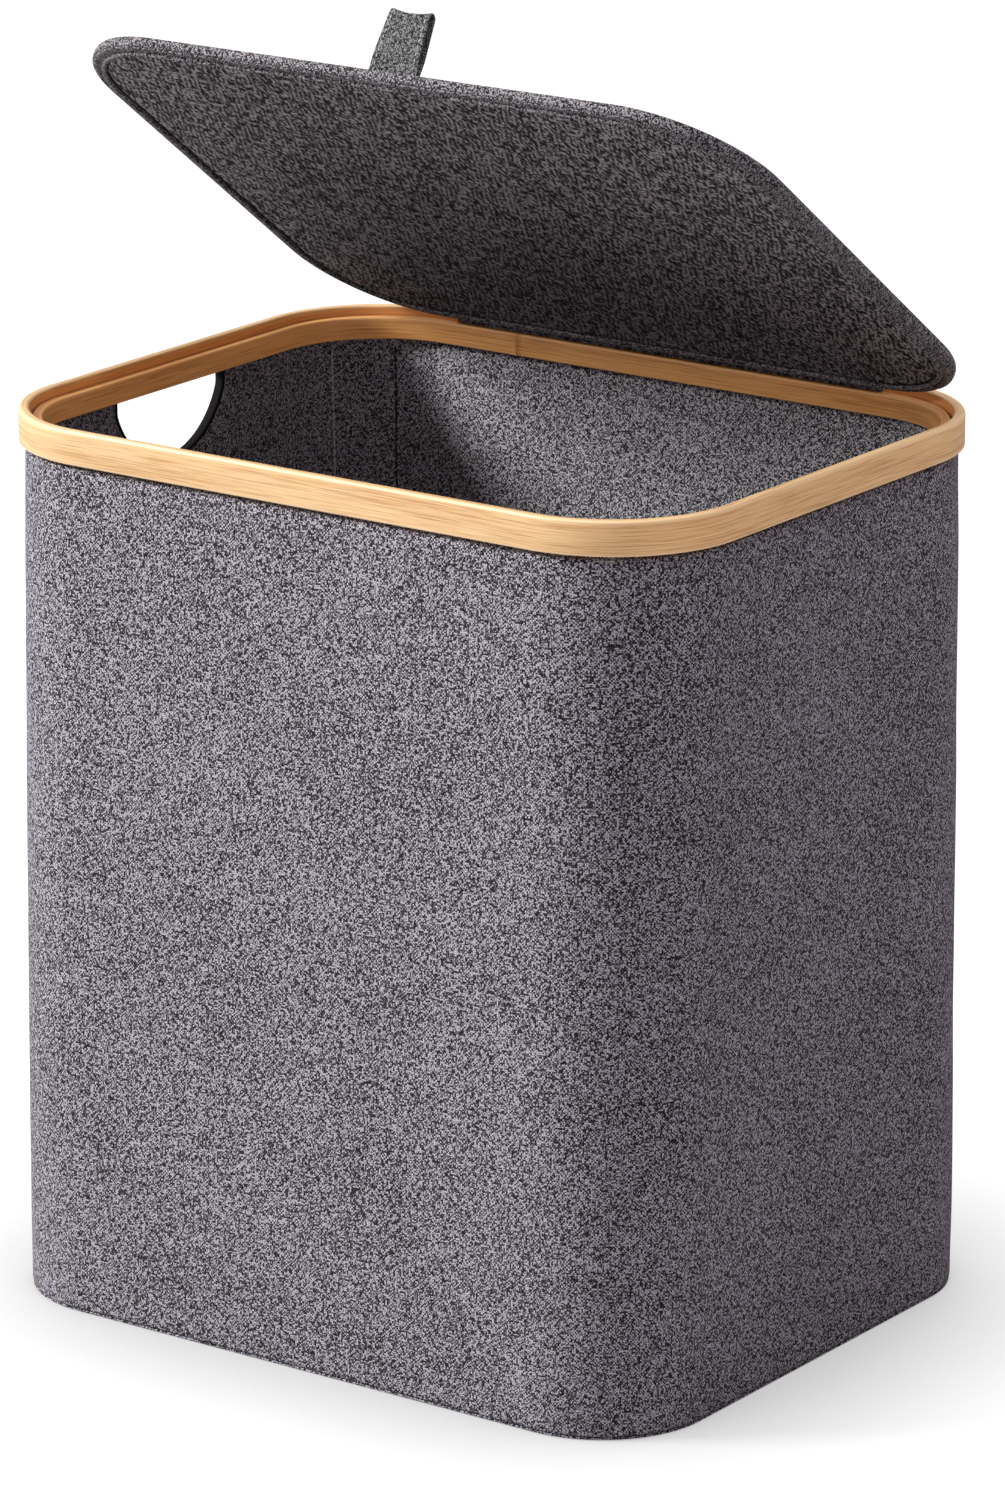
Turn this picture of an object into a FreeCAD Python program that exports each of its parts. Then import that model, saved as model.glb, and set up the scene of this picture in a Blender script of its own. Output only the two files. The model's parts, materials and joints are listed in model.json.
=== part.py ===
import FreeCAD, Part
import math
import os

# Laundry hamper with a hinged lid, in millimetres. +Z is up, +X runs along the long front side,
# and the lid hinges on the rear long side (+Y). The origin is on the floor under the centre.
# The lid is drawn closed and then turned to the angle at which it stands open.

# Body
WIDTH = 450.0              # outside of the bamboo rim, X
DEPTH = 352.0              # outside of the bamboo rim, Y
HEIGHT = 500.0             # floor to the top of the rim
CORNER_R = 76.0            # outer corner radius of the rim

# Bamboo rings
OUTER_RING_T = 6.0
OUTER_RING_H = 19.0
LEDGE_DROP = 5.3           # the inner ring's top is this far below the rim: the lid rests there
INNER_RING_T = 5.0
INNER_RING_H = 13.0
RING_ROUNDING = 1.3        # softened arrises of the bent strips

# Wall: cover, stiffener boards and lining, with the two fabrics clamped between the rings
FABRIC_T = 1.0
BOARD_T = 2.5
COVER_INSET = 3.5          # cover's outer face, in from the rim's outer face
CORNER_SEAM_SIDE = 3.0     # degrees into each corner at which a side board's pocket is sewn off
CORNER_SEAM_LONG = 29.0    # the same for the front and rear boards, which wrap round further
SEAM_ALLOWANCE_H = 4.0     # height of the taped seam allowance along the floor edge

# D-shaped hand-hole, straight under the rings in the left end wall
HAND_HALF_WIDTH = 47.0
HAND_DEPTH = 41.0
HAND_STRAIGHT = 8.0        # upright stretch of each side before the round bottom
HAND_Y = -4.0
HAND_TAPE_T = 0.8

# Loose floor panel
PANEL_GAP = 2.0
PANEL_CORE_T = 3.0
PANEL_LIFT = 0.3           # clearance over the bottom lining

# Brads that hold the two rings together
BRAD_R = 0.7
BRAD_LENGTH = 9.5
BRAD_HEAD_DEPTH = 0.6      # each brad is driven this far below the inner ring's face
BRAD_X = (-120.0, 0.0, 120.0)
BRAD_Y = (-70.0, 70.0)

# Lid
LID_T = 7.0
LID_GAP_SIDE = 1.5
LID_GAP_FRONT = 1.0
LID_CLEARANCE = 0.3        # above the ledge
LID_REAR_Y = 166.7
LID_R = 69.0
LID_FABRIC_T = 0.7
LID_BOARD_T = 3.0
BINDING_T = 0.7
BINDING_W = 9.0
LID_OPEN_DEG = 36.3

# Fabric hinge
HINGE_WIDTH = 286.0
HINGE_T = 0.8
HINGE_TAIL = 11.0          # length clamped between the rings
HINGE_RISE = 6.3           # length standing above the inner ring

# Pull loop
LOOP_W = 32.0
LOOP_LENGTH = 40.5         # from its fold line to the top of the loop
LOOP_STRAP_T = 1.6
LOOP_GAP = 3.4             # widest gap between the two legs
LOOP_SETBACK = 17.0        # fold line, behind the lid's front edge
LOOP_X = 0.0
LOOP_CLEARANCE = 0.3
ANCHOR_LENGTH = 16.0
ANCHOR_T = 0.8

RIM_BOTTOM = HEIGHT - OUTER_RING_H
LEDGE_Z = HEIGHT - LEDGE_DROP
INNER_RING_BOTTOM = LEDGE_Z - INNER_RING_H
BOARD_INSET = COVER_INSET + FABRIC_T
LINING_INSET = BOARD_INSET + BOARD_T
INNER_RING_INSET = LINING_INSET + FABRIC_T
PANEL_INSET = INNER_RING_INSET + PANEL_GAP
PANEL_T = PANEL_CORE_T + 2 * FABRIC_T
LID_BOTTOM = LEDGE_Z + LID_CLEARANCE
LID_TOP = LID_BOTTOM + LID_T
HINGE_Y = DEPTH / 2 - INNER_RING_INSET
LOOP_AXIS_RISE = LOOP_STRAP_T + LOOP_CLEARANCE
COVER_X = COVER_INSET - WIDTH / 2          # left end wall, outer face
LINING_X = INNER_RING_INSET - WIDTH / 2    # left end wall, inner face


def vec(x, y, z):
    return FreeCAD.Vector(x, y, z)


def rounded_wire(x0, x1, y0, y1, radius, z):
    """Rectangle with four round corners, anticlockwise seen from above."""
    diagonal = radius * math.sqrt(0.5)
    corners = [
        (x1 - radius, y0 + radius, 1, -1),
        (x1 - radius, y1 - radius, 1, 1),
        (x0 + radius, y1 - radius, -1, 1),
        (x0 + radius, y0 + radius, -1, -1),
    ]
    arcs = []
    for cx, cy, sx, sy in corners:
        beside = vec(cx + sx * radius, cy, z)
        middle = vec(cx + sx * diagonal, cy + sy * diagonal, z)
        along = vec(cx, cy + sy * radius, z)
        ends = (along, beside) if sx * sy < 0 else (beside, along)
        arcs.append(Part.Arc(ends[0], middle, ends[1]).toShape())
    edges = []
    for i, arc in enumerate(arcs):
        following = arcs[(i + 1) % 4]
        edges += [arc, Part.makeLine(arc.lastVertex().Point, following.firstVertex().Point)]
    return Part.Wire(Part.__sortEdges__(edges))


def slab(x0, x1, y0, y1, radius, z0, z1):
    face = Part.Face(rounded_wire(x0, x1, y0, y1, radius, z0))
    return face.extrude(vec(0, 0, z1 - z0))


def plug(inset, z0, z1):
    """Solid block with the rim's outline, drawn in by inset."""
    half_x, half_y = WIDTH / 2 - inset, DEPTH / 2 - inset
    return slab(-half_x, half_x, -half_y, half_y, CORNER_R - inset, z0, z1)


def sleeve(outer_inset, thickness, z0, z1):
    """Ring-shaped wall that follows the rim's outline."""
    return plug(outer_inset, z0, z1).cut(plug(outer_inset + thickness, z0, z1))


def box(x0, x1, y0, y1, z0, z1):
    return Part.makeBox(x1 - x0, y1 - y0, z1 - z0, vec(x0, y0, z0))


def level_edges(shape, heights):
    """Edges that lie wholly at one of the given heights."""
    found = []
    for edge in shape.Edges:
        low, high = edge.BoundBox.ZMin, edge.BoundBox.ZMax
        if any(abs(low - h) < 1e-6 and abs(high - h) < 1e-6 for h in heights):
            found.append(edge)
    return found


def hand_hole_wire(x, grow):
    """D-shape in a YZ plane, flat side up along the bottom of the rim."""
    half, top, low = HAND_HALF_WIDTH + grow, RIM_BOTTOM, RIM_BOTTOM - HAND_STRAIGHT
    bottom = RIM_BOTTOM - HAND_DEPTH - grow
    left, right = HAND_Y - half, HAND_Y + half
    edges = [
        Part.makeLine(vec(x, right, top), vec(x, left, top)),
        Part.makeLine(vec(x, left, top), vec(x, left, low)),
        Part.Arc(vec(x, left, low), vec(x, HAND_Y, bottom), vec(x, right, low)).toShape(),
        Part.makeLine(vec(x, right, low), vec(x, right, top)),
    ]
    return Part.Wire(edges)


def hand_hole_block(x0, x1, grow=0.0):
    return Part.Face(hand_hole_wire(x0, grow)).extrude(vec(x1 - x0, 0, 0))


def hand_hole_cutter():
    reach = 5.0
    return hand_hole_block(COVER_X - reach, LINING_X + reach, HAND_TAPE_T)


def brads():
    """Headless brads, driven outwards through the inner ring into the outer ring."""
    z = (INNER_RING_BOTTOM + LEDGE_Z) / 2
    start = INNER_RING_INSET + INNER_RING_T - BRAD_HEAD_DEPTH
    pins = []
    for sign in (-1, 1):
        for x in BRAD_X:
            base = vec(x, sign * (DEPTH / 2 - start), z)
            pins.append(Part.makeCylinder(BRAD_R, BRAD_LENGTH, base, vec(0, sign, 0)))
        for y in BRAD_Y:
            base = vec(sign * (WIDTH / 2 - start), y, z)
            pins.append(Part.makeCylinder(BRAD_R, BRAD_LENGTH, base, vec(sign, 0, 0)))
    return pins


def hinge_strip():
    z0, z1 = LEDGE_Z - HINGE_TAIL, LEDGE_Z + HINGE_RISE
    half = HINGE_WIDTH / 2
    return box(-half, half, HINGE_Y - HINGE_T, HINGE_Y, z0, z1)


def outer_ring():
    ring = sleeve(0, OUTER_RING_T, RIM_BOTTOM, HEIGHT)
    ring = ring.makeFillet(RING_ROUNDING, level_edges(ring, (RIM_BOTTOM, HEIGHT)))
    return ring.cut(brads())


def inner_ring():
    ring = sleeve(INNER_RING_INSET, INNER_RING_T, INNER_RING_BOTTOM, LEDGE_Z)
    hollow_edges = []
    for edge in level_edges(ring, (INNER_RING_BOTTOM, LEDGE_Z)):
        middle = edge.valueAt((edge.FirstParameter + edge.LastParameter) / 2)
        if not on_outline(middle, INNER_RING_INSET):
            hollow_edges.append(edge)
    ring = ring.makeFillet(RING_ROUNDING, hollow_edges)
    return ring.cut([hinge_strip()] + brads())


def on_outline(point, inset):
    """True where a point lies on the rim's outline drawn in by inset."""
    radius = CORNER_R - inset
    over_x = abs(point.x) - (WIDTH / 2 - inset - radius)
    over_y = abs(point.y) - (DEPTH / 2 - inset - radius)
    if over_x > 0 and over_y > 0:
        return abs(math.hypot(over_x, over_y) - radius) < 0.01
    return abs(max(over_x, over_y) - radius) < 0.01


def wall_cover():
    """Outer sleeve: stands out over the boards and steps in behind the outer ring."""
    step = RIM_BOTTOM - FABRIC_T
    body = plug(COVER_INSET, FABRIC_T, RIM_BOTTOM).fuse(plug(OUTER_RING_T, RIM_BOTTOM, LEDGE_Z))
    hollow = plug(BOARD_INSET, FABRIC_T, step).fuse(plug(LINING_INSET, step, LEDGE_Z))
    return body.cut(hollow).cut([hand_hole_cutter()] + brads()).removeSplitter()


def wall_lining():
    body = sleeve(LINING_INSET, FABRIC_T, FABRIC_T, LEDGE_Z)
    return body.cut([hand_hole_cutter()] + brads())


def corner_wedge(sign_x, sign_y, start_deg, end_deg):
    """Block that holds one corner between two angles, counted from the end wall's side."""
    cx = sign_x * (WIDTH / 2 - CORNER_R)
    cy = sign_y * (DEPTH / 2 - CORNER_R)
    reach = 2 * CORNER_R
    points = [vec(cx, cy, 0)]
    for angle in (start_deg, (start_deg + end_deg) / 2, end_deg):
        turn = math.radians(angle)
        points.append(vec(cx + sign_x * reach * math.cos(turn), cy + sign_y * reach * math.sin(turn), 0))
    outline = Part.makePolygon(points + [points[0]])
    return Part.Face(outline).extrude(vec(0, 0, HEIGHT))


def board_stock():
    """All four stiffener boards as one closed sleeve, before the corners are opened."""
    top = RIM_BOTTOM - FABRIC_T
    stock = sleeve(BOARD_INSET, BOARD_T, FABRIC_T + SEAM_ALLOWANCE_H, top)
    return stock.cut(hand_hole_cutter())


def stiffener_boards():
    """Front, rear, left and right boards; each corner between them is fabric only."""
    wedges = []
    for sign_x in (-1, 1):
        for sign_y in (-1, 1):
            wedges.append(corner_wedge(sign_x, sign_y, CORNER_SEAM_SIDE, 90 - CORNER_SEAM_LONG))
    pieces = board_stock().cut(wedges).Solids
    names = {}
    for piece in pieces:
        centre = piece.CenterOfMass
        if abs(centre.y) > abs(centre.x):
            names["rear_board" if centre.y > 0 else "front_board"] = piece
        else:
            names["right_board" if centre.x > 0 else "left_board"] = piece
    return names


def grip_tape():
    """Tape that covers the wall's cut edge round the curve of the hand-hole."""
    ring = hand_hole_block(COVER_X, LINING_X, HAND_TAPE_T)
    return ring.cut(hand_hole_block(COVER_X, LINING_X))


def panel_z():
    return 2 * FABRIC_T + PANEL_LIFT


def base_core():
    low = panel_z() + FABRIC_T
    return plug(PANEL_INSET + FABRIC_T, low, low + PANEL_CORE_T)


def base_cover():
    return plug(PANEL_INSET, panel_z(), panel_z() + PANEL_T).cut(base_core())


def lid_slab(inset, z0, z1):
    """Lid outline drawn in by inset, with the lid closed."""
    half_x = WIDTH / 2 - OUTER_RING_T - LID_GAP_SIDE - inset
    front = -(DEPTH / 2 - OUTER_RING_T - LID_GAP_FRONT) + inset
    return slab(-half_x, half_x, front, LID_REAR_Y - inset, LID_R - inset, z0, z1)


def lid_layers():
    """Lid pieces, from the underside up; the binding folds over the edge of all of them."""
    z = [LID_BOTTOM + BINDING_T]
    for thickness in (LID_FABRIC_T, LID_BOARD_T):
        z.append(z[-1] + thickness)
    z += [LID_TOP - BINDING_T - LID_FABRIC_T, LID_TOP - BINDING_T]
    edge = BINDING_T
    binding = lid_slab(0, LID_BOTTOM, LID_TOP)
    binding = binding.cut(lid_slab(BINDING_W, LID_BOTTOM, LID_TOP)).cut(lid_slab(edge, z[0], z[4]))
    anchor = loop_anchor(z[3])
    return {
        "lid_underside": lid_slab(edge, z[0], z[1]),
        "lid_board": lid_slab(edge, z[1], z[2]),
        "lid_foam": lid_slab(edge, z[2], z[3]).cut(anchor),
        "lid_top_cover": lid_slab(edge, z[3], z[4]),
        "lid_binding": binding,
        "pull_loop_anchor": anchor,
    }


def loop_y():
    return -(DEPTH / 2 - OUTER_RING_T - LID_GAP_FRONT) + LOOP_SETBACK


def loop_anchor(top):
    """Flat ends of the pull strap, sewn down under the lid's top cover."""
    x0, y0 = LOOP_X - LOOP_W / 2, loop_y() - ANCHOR_LENGTH / 2
    return box(x0, x0 + LOOP_W, y0, y0 + ANCHOR_LENGTH, top - ANCHOR_T, top)


def leaf_wire(half_at_root, half_at_top, length):
    """Closed teardrop section of the pull loop in the YZ plane, with its fold line at the origin."""
    shoulder = length - half_at_top
    waist = 0.45 * length
    x = LOOP_X - LOOP_W / 2
    sides = []
    for sign in (1, -1):
        curve = Part.BSplineCurve()
        curve.interpolate([
            vec(x, sign * half_at_root, 0),
            vec(x, sign * half_at_top, waist),
            vec(x, sign * half_at_top, shoulder),
        ])
        sides.append(curve.toShape())
    root = Part.Arc(
        vec(x, half_at_root, 0), vec(x, 0, -half_at_root), vec(x, -half_at_root, 0)
    ).toShape()
    top = Part.Arc(
        vec(x, half_at_top, shoulder), vec(x, 0, length), vec(x, -half_at_top, shoulder)
    ).toShape()
    return Part.Wire(Part.__sortEdges__([root, sides[0], top, sides[1]]))


def pull_loop():
    """Strap folded into a loop that stands square to the lid."""
    outside = LOOP_GAP / 2 + LOOP_STRAP_T
    outer = Part.Face(leaf_wire(LOOP_STRAP_T, outside, LOOP_LENGTH))
    gap_root = 7.0
    inner_wire = leaf_wire(0.4, LOOP_GAP / 2, LOOP_LENGTH - gap_root - LOOP_STRAP_T)
    inner_wire.translate(vec(0, 0, gap_root))
    solid = outer.cut(Part.Face(inner_wire)).extrude(vec(LOOP_W, 0, 0))
    solid.translate(vec(0, loop_y(), LID_TOP + LOOP_AXIS_RISE))
    return solid


def opened(shape):
    """Turns a closed lid piece about the hinge line to the angle at which the lid stands."""
    turned = shape.copy()
    turned.rotate(vec(0, HINGE_Y, LID_TOP), vec(-1, 0, 0), LID_OPEN_DEG)
    return turned


def single(shape):
    """The one solid of a shape, or the shape itself where it is a group of solids."""
    return shape.Solids[0] if len(shape.Solids) == 1 else shape


def build():
    nodes = {
        "outer_ring": outer_ring(),
        "inner_ring": inner_ring(),
        "ring_brads": Part.makeCompound(brads()),
        "lid_hinge_strip": hinge_strip().cut(brads()),
        "wall_cover": wall_cover(),
        "wall_lining": wall_lining(),
        "grip_tape": grip_tape(),
        "bottom_cover": plug(COVER_INSET, 0, FABRIC_T),
        "bottom_lining": plug(INNER_RING_INSET, FABRIC_T, 2 * FABRIC_T),
        "bottom_binding": sleeve(BOARD_INSET, BOARD_T, FABRIC_T, FABRIC_T + SEAM_ALLOWANCE_H),
        "base_core": base_core(),
        "base_cover": base_cover(),
        "pull_loop": opened(pull_loop()),
    }
    nodes.update(stiffener_boards())
    nodes.update({name: opened(shape) for name, shape in lid_layers().items()})
    return nodes


def main():
    os.makedirs("parts", exist_ok=True)
    for name, shape in sorted(build().items()):
        piece = single(shape)
        piece.exportStep(f"parts/{name}.step")
        box_size = piece.BoundBox
        print(
            f"{name:18s} solids {len(piece.Solids)} valid {piece.isValid()} "
            f"volume {piece.Volume / 1000:9.2f} cm3  "
            f"x {box_size.XMin:.2f}..{box_size.XMax:.2f} y {box_size.YMin:.2f}..{box_size.YMax:.2f} "
            f"z {box_size.ZMin:.2f}..{box_size.ZMax:.2f}"
        )


main()
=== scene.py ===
"""Laundry hamper with a hinged lid: its looks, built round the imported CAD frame, in metres."""

import json
import math
from itertools import pairwise

import bmesh
import bpy
import numpy as np
from mathutils import Matrix, Vector, noise


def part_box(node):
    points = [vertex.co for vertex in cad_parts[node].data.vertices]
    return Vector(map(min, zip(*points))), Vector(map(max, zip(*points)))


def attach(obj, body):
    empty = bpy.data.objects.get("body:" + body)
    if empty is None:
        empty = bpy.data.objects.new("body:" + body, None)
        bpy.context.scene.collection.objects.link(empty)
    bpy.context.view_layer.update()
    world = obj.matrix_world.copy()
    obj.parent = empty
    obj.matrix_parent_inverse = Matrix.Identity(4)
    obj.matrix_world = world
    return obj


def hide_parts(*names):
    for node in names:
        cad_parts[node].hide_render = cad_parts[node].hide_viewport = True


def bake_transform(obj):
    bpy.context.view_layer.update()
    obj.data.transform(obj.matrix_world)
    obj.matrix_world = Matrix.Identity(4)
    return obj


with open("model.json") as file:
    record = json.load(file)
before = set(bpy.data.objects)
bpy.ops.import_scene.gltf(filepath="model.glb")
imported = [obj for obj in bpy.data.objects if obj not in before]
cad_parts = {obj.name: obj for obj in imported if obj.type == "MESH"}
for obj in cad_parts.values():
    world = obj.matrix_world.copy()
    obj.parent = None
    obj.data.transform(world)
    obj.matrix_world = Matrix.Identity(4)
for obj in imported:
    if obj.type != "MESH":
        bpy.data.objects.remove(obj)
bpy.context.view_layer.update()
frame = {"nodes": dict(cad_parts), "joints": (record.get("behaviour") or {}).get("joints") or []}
joints = {joint["name"]: joint for joint in frame["joints"]}
MM = 0.001
NEAR = 1e-6  # below this, two stations or heights are the same

# Rim and wall, measured from the frame
rim_low, rim_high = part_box("outer_ring")
RIM_X, RIM_Y, HEIGHT = rim_high
RIM_BOTTOM = rim_low.z
CORNER_R = 76 * MM  # the rim's outer corner radius
LEDGE_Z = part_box("inner_ring")[1].z
INNER_RING_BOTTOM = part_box("inner_ring")[0].z


def inset_of(node):
    """How far a node's left face lies inside the rim's outer face."""
    return RIM_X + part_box(node)[0].x


COVER_INSET = inset_of("wall_cover")
BOARD_INSET = inset_of("left_board")
LINING_OUTER_INSET = inset_of("wall_lining")
INNER_RING_INSET = inset_of("inner_ring")
OUTER_RING_T = 6 * MM
INNER_RING_T = 5 * MM
CLOTH_T = INNER_RING_INSET - LINING_OUTER_INSET
BOARD_T = LINING_OUTER_INSET - BOARD_INSET
FLOOR_EDGE = 5 * MM  # height of the taped seam allowance inside the wall's foot

# The cloth body isn't quite straight: towards the floor it draws in at the ends, spreads at the
# long sides and turns its corners more tightly
FLOOR_NARROWER_X = 3.2 * MM
FLOOR_DEEPER_Y = 5.5 * MM
FLOOR_CORNER_TIGHTER = 8.5 * MM

# Where the boards end in each corner, in degrees from the end wall, and the lining's middle seam
SIDE_SEAM_DEG = 3.0
MIDDLE_SEAM_DEG = 30.0
LONG_SEAM_DEG = 61.0

# Hand-hole in the left end wall
HAND_HALF_WIDTH = 47 * MM
HAND_DEPTH = 41 * MM
HAND_STRAIGHT = 8 * MM
HAND_Y = -4 * MM
TAPE_T = 0.8 * MM
HAND_MARGIN = 13 * MM  # cloth round the hole whose mesh runs along its edge
HOLE_TOP = RIM_BOTTOM - 3 * MM  # from here up the cloth turns in under the ring
HOLE_PATCH_LOW = RIM_BOTTOM - HAND_DEPTH - HAND_MARGIN

# Lid, as it lies closed
LID_HALF_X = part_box("lid_binding")[1].x
LID_FRONT, LID_REAR = -169 * MM, 166.7 * MM
LID_R = 69 * MM
LID_BOTTOM, LID_TOP = 495 * MM, 502 * MM
hinge = joints["lid_hinge"]
OPEN_LID = (
    Matrix.Translation(hinge["pos_m"])
    @ Matrix.Rotation(math.radians(-hinge["range_deg"][0]), 4, Vector(hinge["axis"]))
    @ Matrix.Translation(-Vector(hinge["pos_m"]))
)

# Pull loop, standing on the closed lid
LOOP_HALF_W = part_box("pull_loop")[1].x
LOOP_LENGTH = 40.5 * MM
LOOP_TAPER = 6 * MM  # how far its right edge has been pulled in at the top
LOOP_STRAP_T = 1.6 * MM
LOOP_GAP = 3.4 * MM
LOOP_ROOT = OPEN_LID.inverted() @ Vector(joints["pull_loop_fold"]["pos_m"])


# ---------------- outlines


def rim_point(station, half_x, half_y, radius):
    """Point and outward normal on a rectangle with round corners.

    A station runs from 0 to 8, anticlockwise seen from above: 0 to 1 along the front side,
    1 to 2 round the front right corner, 2 to 3 along the right side, and so on.
    """
    segment, part = int(station // 1) % 8, station % 1
    side = segment // 2
    along, out = (half_x, half_y) if side % 2 == 0 else (half_y, half_x)
    if segment % 2 == 0:
        point = ((2 * part - 1) * (along - radius), -out)
        normal = (0.0, -1.0)
    else:
        turn = part * math.pi / 2
        normal = (math.sin(turn), -math.cos(turn))
        point = (along - radius + radius * normal[0], radius - out + radius * normal[1])
    c, s = ((1, 0), (0, 1), (-1, 0), (0, -1))[side]
    return (
        Vector((c * point[0] - s * point[1], s * point[0] + c * point[1], 0)),
        Vector((c * normal[0] - s * normal[1], s * normal[0] + c * normal[1], 0)),
    )


def run_length(station, inset=0.0):
    """Length along the rim's outline, drawn in by inset, from station 0."""
    sides = (2 * (RIM_X - CORNER_R), 2 * (RIM_Y - CORNER_R))
    lengths = [
        sides[k // 2 % 2] if k % 2 == 0 else (CORNER_R - inset) * math.pi / 2 for k in range(8)
    ]
    laps, rest = divmod(int(station // 1), 8)
    return laps * sum(lengths) + sum(lengths[:rest]) + (station % 1) * lengths[rest]


def stations(start, end, marks=(), step=6 * MM):
    """Stations from start to end, with one at every corner's ends and at each mark."""
    stops = {start, end, *range(math.ceil(start), math.floor(end) + 1)}
    stops |= {mark + lap for mark in marks for lap in (-8, 0, 8) if start < mark + lap < end}
    found = [start]
    for a, b in pairwise(sorted(stops)):
        in_corner = int(math.floor((a + b) / 2)) % 2 == 1
        size = step * 0.6 if in_corner else step
        count = max(1, round((run_length(b) - run_length(a)) / size))
        found += [a + (b - a) * i / count for i in range(1, count + 1)]
    return found


def steps(low, high, size, marks=()):
    """Numbers from low to high, no more than size apart, with one at each mark."""
    stops = sorted({low, high, *[m for m in marks if low < m < high]})
    found = [low]
    for a, b in pairwise(stops):
        count = max(1, math.ceil((b - a) / size - NEAR))
        found += [a + (b - a) * i / count for i in range(1, count + 1)]
    return found


def left_station(y):
    """Station of a place on the left side."""
    return 6 + (1 - y / (RIM_Y - CORNER_R)) / 2


def rear_station(x):
    """Station of a place on the rear side."""
    return 4 + (1 - x / (RIM_X - CORNER_R)) / 2


def corner_station(corner, angle):
    """Station in a corner (1, 3, 5, 7 or 9) at an angle in degrees from its end wall."""
    return corner + (1 - angle / 90 if corner in (1, 5, 9) else angle / 90)


def wall_point(station, z, inset):
    """Point and outward normal on the wall, drawn in by inset."""
    down = max(0.0, 1 - z / RIM_BOTTOM)
    point, normal = rim_point(
        station,
        RIM_X - inset - FLOOR_NARROWER_X * down,
        RIM_Y - inset + FLOOR_DEEPER_Y * down,
        CORNER_R - inset - FLOOR_CORNER_TIGHTER * down,
    )
    point.z = z
    return point, normal


def smooth(x):
    x = min(1.0, max(0.0, x))
    return x * x * (3 - 2 * x)


def rounded_profile(a0, a1, b0, b1, radii, segments=4):
    """Closed rectangle with round corners, anticlockwise from the corner (a1, b0)."""
    corners = ((a1, b0, -90), (a1, b1, 0), (a0, b1, 90), (a0, b0, 180))
    points = []
    for (a, b, first), radius in zip(corners, radii):
        ca = a - math.copysign(radius, a - (a0 + a1) / 2)
        cb = b - math.copysign(radius, b - (b0 + b1) / 2)
        for k in range(segments + 1):
            turn = math.radians(first + 90 * k / segments)
            points.append((ca + radius * math.cos(turn), cb + radius * math.sin(turn)))
    return points


def lengths_along(points):
    """Distance from the first point to each point of a line."""
    found = [0.0]
    for a, b in pairwise(points):
        found.append(found[-1] + (Vector(b) - Vector(a)).length)
    return found


# ---------------- meshes


def add_object(name, data):
    made = bpy.data.objects.new(name, data)
    bpy.context.scene.collection.objects.link(made)
    return made


def mesh_object(name, points, faces, flats, material):
    """A smooth welded mesh. flats gives each point's place on the flat cloth or board."""
    mesh = bpy.data.meshes.new(name)
    mesh.from_pydata([tuple(p) for p in points], [], faces)
    layer = mesh.uv_layers.new(name="Flat")
    where = np.array(flats, float)[[loop.vertex_index for loop in mesh.loops]] / MM
    layer.data.foreach_set("uv", where.astype(np.float32).ravel())
    built = bmesh.new()
    built.from_mesh(mesh)
    bmesh.ops.remove_doubles(built, verts=built.verts, dist=2e-6)
    bmesh.ops.dissolve_degenerate(built, edges=built.edges, dist=1e-7)
    loose = [v for v in built.verts if not v.link_faces]
    bmesh.ops.delete(built, geom=loose, context="VERTS")
    built.to_mesh(mesh)
    built.free()
    mesh.polygons.foreach_set("use_smooth", [True] * len(mesh.polygons))
    mesh.materials.append(material)
    return add_object(name, mesh)


def grid_faces(columns, rows, flip=False):
    faces = []
    for i in range(columns - 1):
        for j in range(rows - 1):
            a, b = i * rows + j, (i + 1) * rows + j
            faces.append((a, a + 1, b + 1, b) if flip else (a, b, b + 1, a + 1))
    return faces


def thicken(piece, thickness):
    """Gives a sheet its thickness, on the side away from its visible face."""
    solid = piece.modifiers.new("Thickness", "SOLIDIFY")
    solid.thickness = thickness
    solid.offset = -1


def ribbon(name, stops, section, place, material, flip=False):
    """A sheet swept along stops, which are (distance, stop) pairs. place gives the point for a
    stop and a point of the section."""
    across = lengths_along(section)
    points = [place(stop, part) for _, stop in stops for part in section]
    flats = [(distance, v) for distance, _ in stops for v in across]
    return mesh_object(name, points, grid_faces(len(stops), len(section), flip), flats, material)


def sweep(name, run, profile, material):
    """A strip bent round the rim. profile holds (inset, height) pairs, closed."""
    loop = [*profile, profile[0]]
    around = lengths_along(loop)
    middle = sum(inset for inset, _ in profile) / len(profile)
    points, flats = [], []
    for station in run:
        for (inset, z), v in zip(loop, around):
            point, _ = rim_point(station, RIM_X - inset, RIM_Y - inset, CORNER_R - inset)
            points.append(Vector((point.x, point.y, z)))
            flats.append((run_length(station, middle) - run_length(run[0], middle), v))
    faces = grid_faces(len(run), len(loop))
    last = (len(run) - 1) * len(loop)
    faces.append(tuple(reversed(range(len(profile)))))
    faces.append(tuple(last + k for k in range(len(profile))))
    return mesh_object(name, points, faces, flats, material)


def hand_hole_edge(grow):
    """(y, z) points down one side of the hand-hole, round its bottom and up the other."""
    half, low = HAND_HALF_WIDTH + grow, RIM_BOTTOM - HAND_STRAIGHT
    sag = HAND_DEPTH + grow - HAND_STRAIGHT
    radius = (half * half + sag * sag) / (2 * sag)
    reach = math.asin(half / radius)
    arc = [
        (HAND_Y + radius * math.sin(turn), low - sag + radius * (1 - math.cos(turn)))
        for turn in np.linspace(reach, -reach, 40)
    ]
    return [(HAND_Y + half, RIM_BOTTOM), *arc, (HAND_Y - half, RIM_BOTTOM)]


def resample(points, shares):
    """Points at the given shares of a line's length."""
    at = lengths_along(points)
    wanted = np.array(shares) * at[-1]
    return np.stack([np.interp(wanted, at, [p[k] for p in points]) for k in range(2)], 1)


HOLE_MARKS = [
    left_station(HAND_Y + sign * (HAND_HALF_WIDTH + reach))
    for sign in (1, -1)
    for reach in (TAPE_T, HAND_MARGIN)
]


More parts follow.
